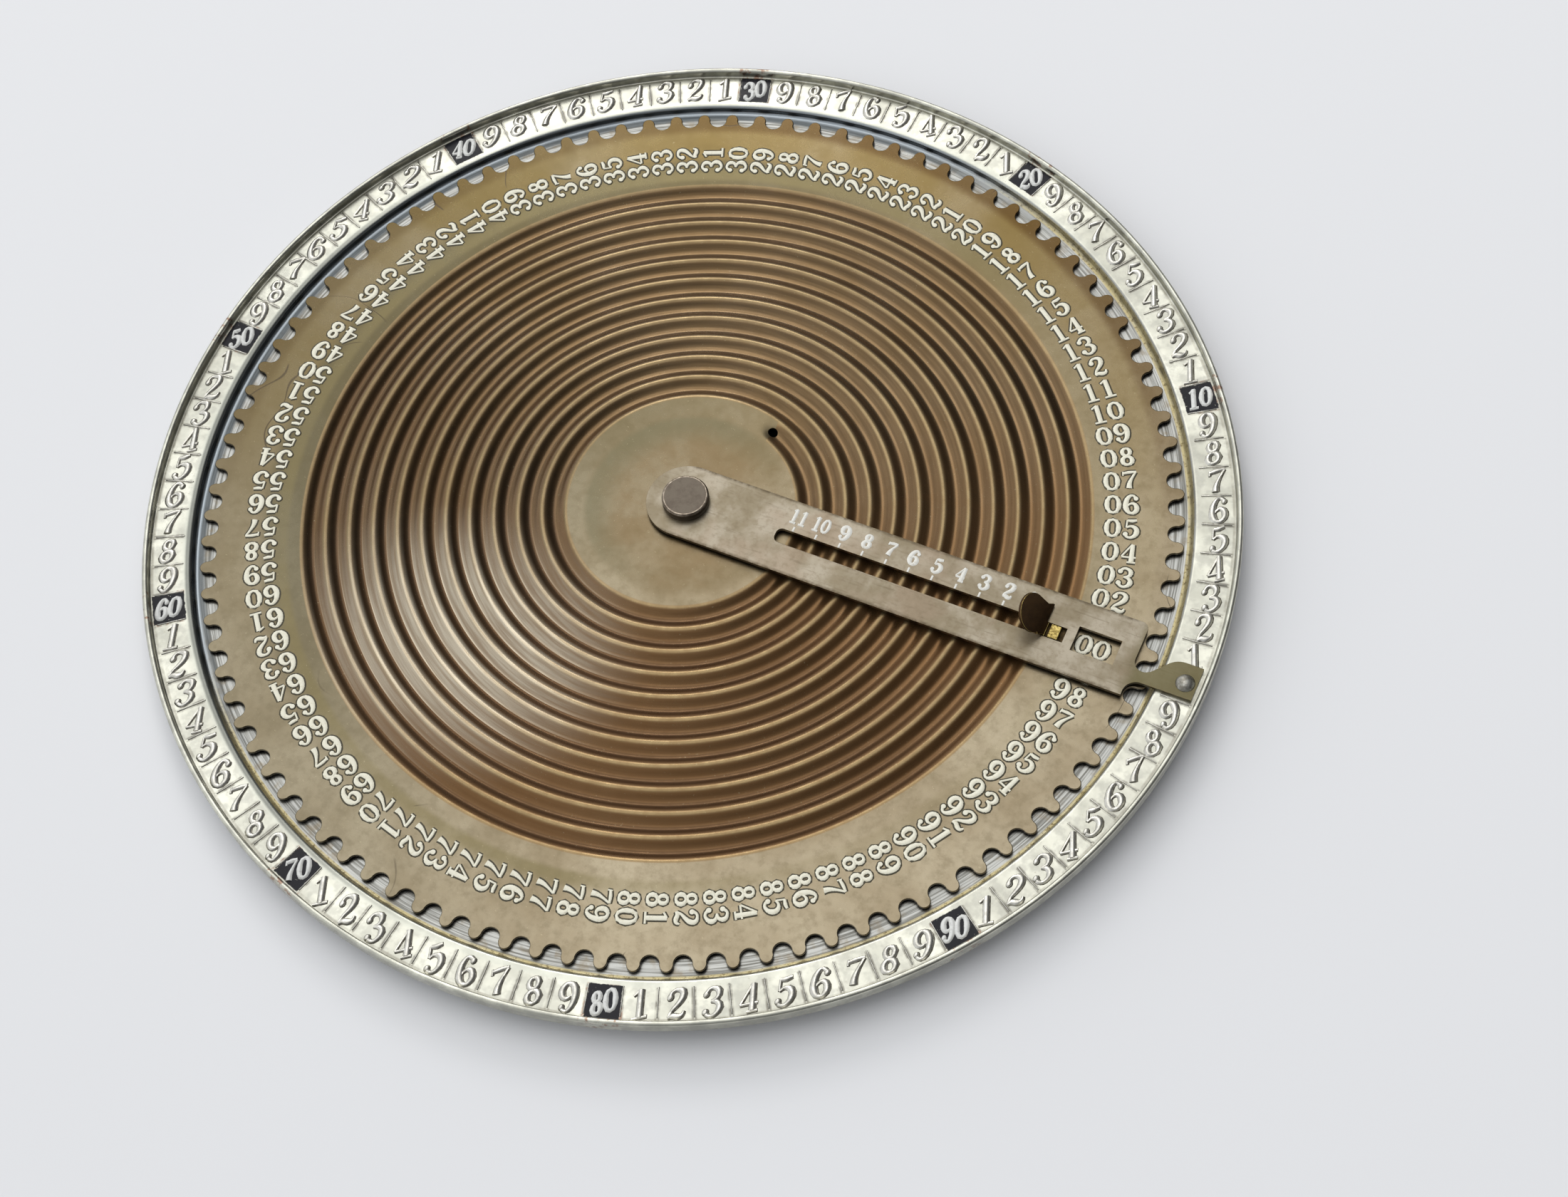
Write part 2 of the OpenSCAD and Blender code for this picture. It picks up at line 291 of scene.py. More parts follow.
class Tree:
    """A node tree that is written as expressions on its wires."""

    def __init__(self, tree):
        self.nodes, self.links = tree.nodes, tree.links

    def node(self, kind, values=(), out=0, ramp=None, **settings):
        """A node with its settings made first, then its sockets' values or links."""
        node = self.nodes.new(kind)
        for key, value in settings.items():
            setattr(node, key, value)
        items = values.items() if isinstance(values, dict) else enumerate(values)
        for key, value in items:
            if isinstance(value, Wire):
                self.links.new(value.socket, node.inputs[key])
            elif value is not None:
                node.inputs[key].default_value = value
        return Wire(self, node.outputs[out])

    def step(self, value, low, high, bottom=0.0, top=1.0):
        """Goes smoothly from bottom to top as value goes from low to high."""
        if low > high:
            low, high, bottom, top = high, low, top, bottom
        values = {"Value": value, "From Min": low, "From Max": high, "To Min": bottom, "To Max": top}
        return self.node("ShaderNodeMapRange", values, interpolation_type="SMOOTHSTEP")

    def span(self, value, outside, start, end, beyond):
        """1 while value is from start to end, and 0 up to outside and from beyond."""
        return self.step(value, outside, start) * self.step(value, beyond, end)

    def vector(self, x, y, z):
        return self.node("ShaderNodeCombineXYZ", (x, y, z))

    def mix(self, share, first, second):
        """Colour: first where share is 0, second where it is 1."""
        first, second = ((*c, 1) if isinstance(c, tuple) else c for c in (first, second))
        return self.node("ShaderNodeMix", {0: share, 6: first, 7: second}, out=2, data_type="RGBA")


class Finish(Tree):
    """A material, with its places in millimetres."""

    def __init__(self, name, **fixed):
        self.material = bpy.data.materials.new(name)
        self.material.use_nodes = True
        super().__init__(self.material.node_tree)
        self.shader = self.nodes["Principled BSDF"]
        self.set(**fixed)
        place = self.node("ShaderNodeTexCoord", out="Object")
        self.place = self.node("ShaderNodeVectorMath", (place, (1000, 1000, 1000)), operation="MULTIPLY")
        self.x, self.y, self.z = (self.node("ShaderNodeSeparateXYZ", (self.place,), out=i) for i in range(3))

    def noise(self, size, detail=2.0, rough=0.5, where=None):
        """Noise whose blotches are about size millimetres across."""
        values = {"Vector": where or self.place, "Scale": 1 / size, "Detail": detail, "Roughness": rough}
        return self.node("ShaderNodeTexNoise", values)

    def patches(self, size, low, high, bottom=0.0, top=1.0, detail=3, rough=0.6):
        """Irregular patches: the noise's places over high, fading out to those under low."""
        return self.step(self.noise(size, detail, rough), low, high, bottom, top)

    def side(self, dx, dy, low, high, bottom=0.0, top=1.0):
        """Grows across the piece in the direction (dx, dy), from low to high."""
        return self.step(self.x * dx + self.y * dy, low, high, bottom, top)

    def hairs(self, size, thin, seed):
        """Fine curved scratches: the level lines of a smooth noise, kept only here and there."""
        there = self.node("ShaderNodeVectorMath", (self.place, (seed, seed * 2, seed * 3)), operation="ADD")
        line = self.step(abs(self.noise(size, 0.6, 0.4, there) - 0.5), thin, thin * 0.3)
        return line * self.step(self.noise(size * 0.6, 1, 0.5, there), 0.53, 0.58)

    def radius(self):
        return (self.x * self.x + self.y * self.y) ** 0.5

    def angle(self):
        """Degrees round the axis from the arm, 0 to 360."""
        return (self.y.math("ARCTAN2", self.y, self.x) * (180 / math.pi)) % 360

    def ringwise(self, across, along):
        """Place for streaks round the axis, fine across and long along."""
        radius = self.radius()
        return self.vector(radius / across, self.x / (radius + 0.01) * along,
                           self.y / (radius + 0.01) * along)

    def set(self, **sockets):
        for key, value in sockets.items():
            socket = self.shader.inputs[key.replace("_", " ")]
            if isinstance(value, Wire):
                self.links.new(value.socket, socket)
            else:
                socket.default_value = (*value, 1) if isinstance(value, tuple) else value

    def bump(self, height, depth, strength=1.0):
        """depth is in millimetres, for a height from 0 to 1."""
        values = {"Height": height, "Distance": depth * MM, "Strength": strength}
        self.set(Normal=self.node("ShaderNodeBump", values))
        return self.material


def nickel_plate():
    """Worn nickel, with brass showing at the foot of the wall and black paint in the boxes of the tens."""
    f = Finish("nickel_plate", Specular_IOR_Level=0.2)
    radius, angle = f.radius(), f.angle()

    # wear in patches, all over
    blotch = f.noise(9, 4, 0.6)
    metal = f.mix(f.step(blotch, 0.35, 0.7), tone(202, 201, 188), tone(176, 175, 163))
    metal = f.mix(f.patches(2.2, 0.42, 0.62) * 0.55, metal, tone(158, 157, 148))
    metal = f.mix(f.patches(0.45, 0.66, 0.74, rough=0.7) * 0.5, metal, tone(140, 128, 106))

    # the well: dull, streaked round the axis; on the side where its wall faces away from the window, painted
    # shade on the wall and on the floor under the teeth
    streak = f.noise(1, 3, 0.6, f.ringwise(0.3, 5))
    floor = f.step(radius, 81.75, 81.45)
    well = f.mix(f.step(streak, 0.4, 0.62), tone(160, 160, 156), tone(102, 101, 96))
    well = f.mix(f.patches(3, 0.5, 0.7) * 0.5, well, tone(112, 98, 74))
    metal = f.mix(floor * f.step(f.z, 1, 2), metal, well)
    away = f.side(-0.87, 0.5, -20, 50)
    # painted shade for the wall and the floor below it, darkest nearest the axis
    wall = f.mix(f.step(radius, 80.2, 80.7), tone(62, 68, 72), tone(150, 158, 164))
    metal = f.mix(floor * away * f.step(radius, 79, 79.8) * 0.85, metal, wall)

    # painted shade along both sides of the raised lines between the boxes
    cell = (angle + (RING_LAG + EACH / 2)) % EACH - EACH / 2
    painted_shadow = f.span(EACH / 2 - abs(cell), 0.02, 0.08, 0.16, 0.34) * f.patches(2.2, 0.36, 0.6, 0.25, 1)
    ring = f.span(radius, 82.5, 82.7, 87.5, 87.8) * f.step(f.z, RING_Z - 0.1, RING_Z - 0.05)
    metal = f.mix(painted_shadow * ring * 0.75, metal, tone(96, 92, 84))

    # the lip, greyer except at the right as painted shade, the rubbed line of brass at the foot of the wall,
    # painted shade on the lip at the lower left, and painted shade in the rim's inner corner
    lip = f.span(radius, 81.3, 81.6, 82.4, 83)
    # painted shade: the lip greyer everywhere but at the right
    metal = f.mix(lip * f.step(f.x, 60, 20) * 0.6, metal, tone(180, 181, 170))
    foot = f.span(radius, 80.3, 80.55, 81.25, 81.5)
    rubbed = f.patches(2.4, 0.3, 0.6, 0.6, 1, detail=4, rough=0.65) * f.step(away, 0.75, 0.25)
    olive = f.mix(f.patches(0.6, 0.5, 0.66, detail=4, rough=0.7), tone(182, 169, 126), tone(118, 104, 70))
    metal = f.mix(foot * rubbed, metal, olive)
    shade = f.span(radius, 81.2, 81.5, 82, 82.5) * f.side(-0.9, -0.43, 30, 70)
    metal = f.mix(shade * 0.8, metal, tone(96, 98, 94))
    # painted shade in patches in the rim's inner corner
    corner = f.span(radius, 87.3, 87.55, 87.85, 88.05) * f.step(f.z, RING_Z + 0.5, RING_Z + 0.2)
    metal = f.mix(corner * f.patches(3, 0.35, 0.6, 0.1, 0.6), metal, tone(130, 126, 114))

    # the painted boxes of the tens, ragged, chipped, and with traces of red beside them
    every_ten = 10 * EACH
    cell = (angle + (RING_LAG + every_ten / 2)) % every_ten - every_ten / 2
    across = abs(cell) * math.radians(85.2)
    ragged = (f.noise(0.7, 3, 0.6) - 0.5) * 0.45
    box = f.step(across + ragged, 2.62, 2.5) * f.span(radius + ragged, 82.4, 82.55, 87.65, 87.8)
    tens = f.span(angle, 18, 20, 341, 343)
    chips = f.patches(0.8, 0.66, 0.7, detail=4, rough=0.7)
    paint = box * tens * f.step(f.z, RING_Z - 0.4, RING_Z - 0.3) * (1 - chips * 0.75)
    trace = f.patches(1.3, 0.52, 0.62) * f.step(across, 3.2, 2.7) * tens
    metal = f.mix(trace * f.step(radius, 82.3, 82.6) * 0.7, metal, tone(130, 88, 66))

    f.set(Base_Color=f.mix(paint, metal, tone(20, 19, 26)), Metallic=1 - paint - foot * rubbed * 0.6,
          Roughness=f.step(blotch, 0.3, 0.7, 0.26, 0.36) - paint * 0.06)
    return f.bump(streak * floor * 0.4 + f.noise(1.8, 2, 0.5), 0.045, 0.7)


def bronzed_sheet():
    """Bronzed brass: olive brown outside, golden at the top as painted reflection, redder in the groove, and
    rubbed on its crests, with painted shade on some sides.
    """
    f = Finish("bronzed_sheet", Coat_Roughness=0.22)
    radius, angle = f.radius(), f.angle()
    cloud = f.noise(18, 4, 0.6)
    fine = f.noise(2.2, 4, 0.7)
    streak = f.noise(1, 3, 0.6, f.ringwise(0.5, 3))

    # where the groove is: turn goes from 0 in its bottom through 0.5 on the crest to 1 in the next
    lead = angle / 360 * PITCH
    turn = ((radius - GROOVE_R) / PITCH + angle / 360) % 1
    from_crest = abs(turn - 0.5) * PITCH
    first, last = GROOVE_R + PITCH / 2, GROOVE_R - PITCH * 11.5
    grooved = f.step(radius + lead, first + 0.3, first - 0.1)
    grooved = grooved * f.step(radius + lead - f.step(angle, 66, 70) * PITCH, last - 0.3, last + 0.1)

    # the flat band, its tone cloudy; painted reflection makes it golden towards the teeth at the top and
    # dull at the left, and painted shade darkens it at the upper left
    brown = f.mix(f.step(cloud, 0.35, 0.68), tone(143, 132, 110), tone(126, 113, 90))
    brown = f.mix(f.step(fine, 0.42, 0.72) * 0.5, brown, tone(110, 98, 74))
    # painted reflection: a golden tone on the upper side, yellower and darker towards the teeth
    golden = f.side(-0.34, 0.94, -50, 60) * f.patches(26, 0.25, 0.6, 0.5, 1, rough=0.55)
    at_teeth = f.step(radius, 75.4, 77.4)
    outer = f.mix(at_teeth, tone(104, 86, 44), tone(90, 68, 26))
    brown = f.mix(golden * 0.9, brown, f.mix(f.step(radius, 67.5, 71.5), tone(104, 90, 60), outer))
    # painted shade at the teeth on the upper side
    brown = f.mix(at_teeth * f.side(-0.35, 0.9, -10, 45) * 0.7, brown, tone(74, 53, 16))
    # painted reflection: a dull tone at the left
    dull = f.mix(golden, tone(102, 94, 74), tone(88, 76, 44))
    brown = f.mix(f.side(-0.98, -0.2, -10, 50) * 0.55, brown, dull)
    # painted shade inside the band at the upper left
    upper_left = f.side(-0.8, 0.35, -15, 40)
    brown = f.mix(f.step(radius, 71, 68.5) * upper_left * 0.55, brown, tone(68, 64, 44))

    # the groove: its brown and rust; painted reflection: redder on the front side; painted shade: in its
    # bottom on the lower side, on its inner flank at the top and on its outer flank at the upper left; and
    # the rubbed crest
    inner = f.mix(f.step(streak, 0.35, 0.65), tone(124, 98, 66), tone(106, 82, 53))
    brown = f.mix(grooved * 0.85, brown, inner)
    rust = f.mix(f.patches(11, 0.35, 0.65), tone(104, 70, 42), tone(98, 72, 44))
    sunk = f.step(f.z, DISC_Z - 0.01, DISC_Z - 0.06)
    brown = f.mix(f.span(turn, 0.55, 0.7, 0.85, 1) * sunk * grooved * 0.3, brown, rust)
    # painted reflection: redder, less metallic and without coat on the front side, nearest the camera
    near_reflection = f.side(0.6, -0.8, -15, 35) * grooved
    brown = f.mix(near_reflection * 0.55, brown, tone(110, 74, 38))
    # painted shade in the groove's bottom on the lower side
    bottom_shade = f.step(abs((turn + 0.37) % 1 - 0.5), 0.26, 0.08) * f.side(0.3, 1, 10, -20) * grooved
    brown = f.mix(bottom_shade * 0.85, brown, tone(70, 50, 30))
    # painted shade on the inner flank at the top
    back = f.span(turn, 0.58, 0.72, 0.94, 1) * f.side(-0.2, 1, 5, 30) * grooved
    brown = f.mix(back * 0.65, brown, tone(66, 52, 30))
    crest = f.step(from_crest, 0.6, 0.1) * grooved
    brown = f.mix(crest * f.step(fine, 0.3, 0.7, 0.85, 0.55), brown, tone(138, 120, 86))
    # painted shade on the outer flank at the upper left
    outer_flank_shade = f.span(turn, 0.16, 0.28, 0.46, 0.55) * f.side(-0.85, 0.5, -10, 25) * grooved
    brown = f.mix(outer_flank_shade * 0.4, brown, tone(66, 51, 33))

    # a place at the lower left where the crests are painted a silvery brown: a painted highlight
    dx, dy = f.x + 24, f.y + 36
    distance = (dx * dx * 0.6 + dy * dy) ** 0.5
    silver = f.step(distance, 26, 6) * f.step(streak, 0.3, 0.7, 0.4, 1) * grooved
    brown = f.mix(silver * f.step(turn, 0.22, 0.38) * 0.85, brown, tone(198, 187, 166))

    # olive tarnish outside the groove and round the middle; the hollow round the middle is also darker at
    # the upper left as painted shade
    rim = f.span(radius, 65, 66.2, 66.8, 69) * f.step(f.x, 50, 10, 0.3, 1)
    brown = f.mix(rim * f.step(cloud, 0.3, 0.6, 0.35, 0.75), brown, tone(104, 94, 64))
    hub = f.step(radius, 18, 15) * f.patches(6, 0.42, 0.62, 0.5, 1, detail=4)
    brown = f.mix(hub * 0.65, brown, tone(104, 86, 58))
    # tarnish in the hollow, with painted shade making it darker at the upper left
    hollow = f.span(radius, 10.5, 15.5, 16, 17.5) * f.side(-0.9, 0.4, -10, 12, 0.2, 1)
    brown = f.mix(hollow * 0.6, brown, tone(90, 86, 64))

    # scratches on the flat band, and pale dust
    scratches = f.hairs(22, 0.003, 3) * f.step(radius, 64, 67)
    brown = f.mix(scratches * 0.7, brown, tone(60, 50, 38))
    brown = f.mix(f.patches(0.4, 0.67, 0.72, rough=0.7) * 0.4, brown, tone(170, 160, 130))

    f.set(Base_Color=brown, Metallic=1 - near_reflection * 0.2, Roughness=f.step(fine + cloud, 0.7, 1.3, 0.24, 0.36),
          Coat_Weight=f.step(cloud, 0.3, 0.7, 0.4, 0.2) * (1 - near_reflection))
    relief = fine * 0.35 + f.noise(0.3, 3, 0.7) * 0.4 + streak * grooved * 0.5 - scratches * 0.6
    return f.bump(relief, 0.016, 0.7)


def bronzed_strip():
    """The arm's bronzing, worn pale and rosy in patches."""
    f = Finish("bronzed_strip", Metallic=1.0)
    cloud = f.noise(8, 4, 0.62)
    fine = f.noise(1.1, 4, 0.7)
    grain = f.noise(1, 4, 0.6, f.vector(f.x / 5, f.y / 0.5, f.z))
    brown = f.mix(f.step(cloud, 0.36, 0.64), tone(121, 111, 92), tone(144, 136, 121))
    brown = f.mix(f.patches(13, 0.5, 0.66) * 0.6, brown, tone(130, 115, 98))
    brown = f.mix(f.step(fine, 0.45, 0.7) * 0.45, brown, tone(108, 96, 78))
    brown = f.mix(f.step(grain, 0.55, 0.75) * 0.4, brown, tone(86, 74, 58))
    brown = f.mix(f.step(f.x, 75.5, 78.5) * 0.85, brown, tone(92, 86, 60))
    edge = f.step(abs(f.y), 5.9, 6.5) * f.step(f.x, 76, 74)
    brown = f.mix(edge * f.step(fine, 0.3, 0.6, 0.3, 0.8), brown, tone(72, 62, 48))
    f.set(Base_Color=brown, Roughness=f.step(cloud, 0.3, 0.7, 0.42, 0.3))
    return f.bump(grain * 0.6 + fine * 0.4, 0.014, 0.6)


def metal(name, light, dark, rough, grain=0.8, relief=0.03):
    """Bare metal in two tones, mottled at the size grain."""
    f = Finish(name, Metallic=1.0)
    cloud = f.noise(grain, 4, 0.65)
    f.set(Base_Color=f.mix(f.step(cloud, 0.35, 0.65), light, dark),
          Roughness=f.step(cloud, 0.3, 0.7, rough, rough + 0.14))
    return f.bump(cloud, relief, 0.6)


def filling(name, light, dark, rough):
    """The paint on the numbers."""
    f = Finish(name)
    speck = f.noise(0.5, 4, 0.7)
    f.set(Base_Color=f.mix(f.step(speck, 0.5, 0.72), light, dark), Roughness=rough)
    return f.bump(speck, 0.02, 0.5)


nickel = nickel_plate()
raised_nickel = metal("raised_nickel", tone(212, 209, 200), tone(190, 187, 178), 0.24)
# dark metal for a painted shadow beside the raised numerals of the ring
ring_painted_shadow = metal("ring_painted_shadow", tone(112, 108, 98), tone(72, 68, 60), 0.4)
silver_paint = filling("silver_paint", tone(226, 226, 222), tone(196, 196, 192), 0.4)
bronze = bronzed_sheet()
bronze_edge = metal("bronze_edge", tone(88, 74, 50), tone(48, 40, 28), 0.34)
strip = bronzed_strip()
strip_edge = metal("strip_edge", tone(140, 120, 90), tone(66, 56, 44), 0.34)
stud_steel = metal("stud_steel", tone(82, 74, 66), tone(102, 94, 84), 0.36, 2.2)
rivet_steel = metal("rivet_steel", tone(178, 176, 168), tone(128, 124, 114), 0.3, 0.9, 0.12)
stud_edge = metal("stud_edge", tone(168, 156, 140), tone(120, 108, 96), 0.3)
hammered = metal("hammered_brass", tone(190, 170, 104), tone(112, 94, 50), 0.3, 0.4, 0.1)
# the slider plate's brass, darkened as painted shade under the arm
brass_painted_shade = metal("brass_painted_shade", tone(78, 64, 42), tone(56, 46, 32), 0.45)
brass = metal("bush_brass", tone(196, 168, 104), tone(160, 132, 78), 0.3)
steel = metal("washer_steel", tone(176, 174, 168), tone(150, 148, 143), 0.34)
# the leaf's face, dark brown: a painted reflection of dark surroundings
leaf = metal("leaf_brass", tone(74, 56, 40), tone(92, 70, 48), 0.36, 1.5)
leaf_edge = metal("leaf_edge", tone(220, 198, 120), tone(170, 146, 84), 0.28)
cream = filling("cream_filling", tone(240, 236, 216), tone(224, 216, 190), 0.45)
white = filling("white_filling", tone(232, 230, 222), tone(205, 200, 186), 0.5)
number_edge = filling("number_edge", tone(62, 56, 36), tone(84, 76, 50), 0.6)


# Numerals, each drawn as strokes of (x, y, half width) in a box 2.5 by 3.7

STROKES = {
    "0": [[(2.1, 1.85, 0.36), (1.25, 3.4, 0.2), (0.4, 1.85, 0.36), (1.25, 0.3, 0.2), (2.1, 1.85, 0.36)]],
    "1": [[(1.3, 0.2, 0.34), (1.3, 3.5, 0.34)], [(0.45, 0.17, 0.17), (2.15, 0.17, 0.17)],
          [(1.3, 3.5, 0.16), (0.5, 2.95, 0.16)]],
    "2": [[(0.55, 2.75, 0.33)], [(0.55, 2.85, 0.3), (0.75, 3.35, 0.2), (1.3, 3.55, 0.2), (1.95, 3.2, 0.33),
          (1.95, 2.5, 0.36), (1.45, 1.75, 0.28), (0.8, 1.1, 0.2), (0.45, 0.45, 0.15)],
          [(0.4, 0.3, 0.16), (0.9, 0.5, 0.3), (1.5, 0.28, 0.32), (2, 0.35, 0.25), (2.2, 0.85, 0.14)]],
    "3": [[(0.5, 2.9, 0.32)], [(0.55, 3.05, 0.25), (0.9, 3.5, 0.2), (1.4, 3.52, 0.22), (1.95, 3, 0.34),
          (1.75, 2.2, 0.25), (1.1, 1.98, 0.16)],
          [(1.1, 1.98, 0.16), (1.8, 1.75, 0.25), (2.1, 1.05, 0.37), (1.6, 0.3, 0.24), (1, 0.2, 0.2),
           (0.6, 0.55, 0.25)],
          [(0.5, 0.8, 0.33)]],
    "4": [[(1.65, 3.5, 0.15), (0.3, 1.15, 0.15)], [(0.3, 1.1, 0.16), (2.3, 1.1, 0.16)],
          [(1.7, 3.45, 0.3), (1.7, 0.25, 0.36)], [(1.1, 0.17, 0.16), (2.3, 0.17, 0.16)]],
    "5": [[(0.75, 3.35, 0.2), (1.4, 3.3, 0.27), (2.05, 3.45, 0.2)], [(0.72, 3.4, 0.14), (0.62, 2, 0.15)],
          [(0.62, 2, 0.15), (1.2, 2.3, 0.2), (1.95, 1.9, 0.34), (2.05, 1.1, 0.38), (1.5, 0.3, 0.26),
           (0.9, 0.22, 0.2), (0.55, 0.55, 0.25)], [(0.5, 0.8, 0.32)]],
    "6": [[(1.95, 2.9, 0.3)], [(1.9, 3.1, 0.22), (1.45, 3.52, 0.19), (0.85, 3.1, 0.3), (0.5, 2, 0.38),
          (0.55, 1, 0.38), (1.2, 0.2, 0.22), (1.9, 0.6, 0.34), (2, 1.3, 0.36), (1.55, 2, 0.24),
          (1, 1.85, 0.16), (0.7, 1.5, 0.14)]],
    "7": [[(0.4, 3.2, 0.2), (1.2, 3.35, 0.25), (2.25, 3.4, 0.18)], [(0.38, 3.5, 0.13), (0.35, 2.75, 0.13)],
          [(2.2, 3.35, 0.16), (1.6, 2.3, 0.2), (1.15, 1.2, 0.32), (1.05, 0.35, 0.4)]],
    "8": [[(1.8, 2.75, 0.32), (1.25, 3.4, 0.19), (0.7, 2.75, 0.32), (1.25, 2.0, 0.22), (1.8, 2.75, 0.32)],
          [(1.95, 1.05, 0.35), (1.25, 1.85, 0.22), (0.55, 1.05, 0.35), (1.25, 0.28, 0.2),
           (1.95, 1.05, 0.35)]],
}
STROKES["9"] = [[(2.5 - x, 3.7 - y, r) for x, y, r in stroke] for stroke in STROKES["6"]]


def numeral(digit, height, width=1.0, swell=0.0, weight=1.0, top=0.15, slant=0.0, fineness=3, sides=1):
    """One numeral, its middle at the origin, its strokes rounded off at the height top and open below."""
    deselect()
    curve = bpy.data.curves.new("numeral_" + digit, "CURVE")
    curve.dimensions = "3D"
    curve.bevel_depth = MM
    curve.bevel_resolution = sides
    curve.resolution_u = fineness
    curve.use_fill_caps = True
    slope = math.tan(math.radians(slant))
    scale = height / 3.7
    balls = []
    for stroke in STROKES[digit]:
        points = [((x - 1.25) * scale * width, (y - 1.85) * scale, r * weight * scale + swell)
                  for x, y, r in stroke]
        if len(points) == 1:
            balls.append(points[0])
            continue
        ring = points[0] == points[-1]
        points = points[:-1] if ring else points
        spline = curve.splines.new("BEZIER")
        spline.bezier_points.add(len(points) - 1)
        spline.use_cyclic_u = ring
        for knot, (x, y, r) in zip(spline.bezier_points, points):
            knot.co = Vector((x, y, 0)) * MM
            knot.handle_left_type = knot.handle_right_type = "AUTO"
            knot.radius = r
    obj = bpy.data.objects.new(curve.name, curve)
    bpy.context.scene.collection.objects.link(obj)
    pick(obj)
    bpy.ops.object.convert(target="MESH")
    parts = [bpy.context.object]
    for x, y, r in balls:
        bpy.ops.mesh.primitive_uv_sphere_add(segments=10, ring_count=6, radius=r * MM,
                                             location=(x * MM, y * MM, 0))
        parts.append(bpy.context.object)
    obj = join(parts, "numeral_" + digit)
    for vertex in obj.data.vertices:
        x, y, z = vertex.co
        vertex.co = (x + y * slope, y, top * MM * math.tanh(z / MM / top))
    mesh = bmesh.new()
    mesh.from_mesh(obj.data)
    hidden = [f for f in mesh.faces if f.calc_center_median().z < -0.3 * top * MM and f.normal.z < -0.4]
    bmesh.ops.delete(mesh, geom=hidden, context="FACES")
    mesh.to_mesh(obj.data)
    mesh.free()
    smooth(obj, 60)
    return obj


def numeral_set(**style):
    return {digit: numeral(digit, **style) for digit in STROKES}


def place_numerals(name, styles, places):
    """Copies numerals to places of (digit, x, y, z, turn, squeeze), and joins them."""
    copies = []
    for digit, x, y, z, turn, squeeze in places:
        mesh = styles[digit].data.copy()
        mesh.transform(Matrix.Translation(Vector((x, y, z)) * MM)
                       @ Matrix.Rotation(math.radians(turn), 4, "Z") @ Matrix.Diagonal((squeeze, 1, 1, 1)))
        copy = bpy.data.objects.new(name, mesh)
        bpy.context.scene.collection.objects.link(copy)
        copies.append(copy)
    return join(copies, name)


def put_away(*sets):
    """Removes the numerals that were only there to be copied."""
    for styles in sets:
        for obj in styles.values():
            bpy.data.objects.remove(obj)


# The pan: one pressing, from its raised seat out to the folded rim


def make_pan():
    """Its section is drawn from the seat outwards and back underneath, and spun."""
    top = SEAT_Z + PAN_T
    section = [(TAIL_R, top), (4, top), (8, top), (12.4, top)]
    section += arc(12.9, top - 0.7, 0.7, 90, 45, 3) + arc(15.2, PAN_T + 0.7, 0.7, -135, -90, 3)
    section += [(r, PAN_T) for r in (20, 30, 40, 50, 60, 66)]
    section += arc(66.6, PAN_T + 0.6, 0.6, -90, -45, 3) + arc(68.6, SHELF_Z - 0.6, 0.6, 135, 90, 3)
    section += [(70, SHELF_Z), (74, SHELF_Z), (76, SHELF_Z), (77.5, SHELF_Z + 0.03), (79, SHELF_Z + 0.1)]
    section += arc(80.5, SHELF_Z + 0.85, 0.7, -80, 0, 6) + arc(81.9, RING_Z - 0.7, 0.7, 180, 90, 8)
    section += [(83.5, RING_Z), (85, RING_Z), (86.5, RING_Z)] + arc(87.8, RING_Z + 0.25, 0.25, -90, 0, 4)
    section += arc(RIM_R - 0.475, RIM_Z - 0.475, 0.475, 180, 0, 10)
    section += arc(RIM_R - 0.25, RING_Z - 0.75, 0.25, 0, -90, 4)
    section += [(88.3, RING_Z - 1.0), (88.3, RING_Z - PAN_T - 0.05), (88.1, RING_Z - PAN_T),
                (84, RING_Z - PAN_T)]
    section += arc(82.2, RING_Z - 1.0, 0.4, 90, 180, 5) + arc(80.0, 1.8, 1.8, 0, -90, 8)
    section += [(r, 0) for r in (70, 50, 30)]
    section += arc(15.2, 0.5, 0.5, -90, -135, 2) + arc(12.9, SEAT_Z - 0.6, 0.6, 45, 90, 2)
    section += [(8, SEAT_Z), (TAIL_R, SEAT_Z)]
    pan = wire("dial_pan_pressed", section, closed=True)
    spin(pan, 360)
    clean(pan)
    smooth(pan, 50)
    dress(pan, "base", nickel, ["dial_pan"])


def make_ring_lines():
    """The raised lines between the boxes of the ring, one modelled and 99 turned copies."""
    deselect()
    bpy.ops.mesh.primitive_cube_add(size=MM, location=(84.9 * MM, 0, (RING_Z + 0.03) * MM))
    line = bpy.context.object
    line.name = "ring_lines"
    line.scale = (4.9, 0.34, 0.26)
    settle(line)
    bpy.ops.object.mode_set(mode="EDIT")
    choose(line, False, lambda face: face.normal.z > 0.9)
    bpy.ops.transform.resize(value=(0.96, 0.3, 1))
    bpy.ops.mesh.select_all(action="SELECT")
    bpy.ops.mesh.bevel(offset=0.03 * MM, segments=1)
    bpy.ops.object.mode_set(mode="OBJECT")
    line.rotation_euler[2] = math.radians(EACH / 2 - RING_LAG)
    settle(line)
    spin(line, 99, copies=True, degrees=360 * 0.99)
    smooth(line, 60)
    dress(line, "base", raised_nickel)


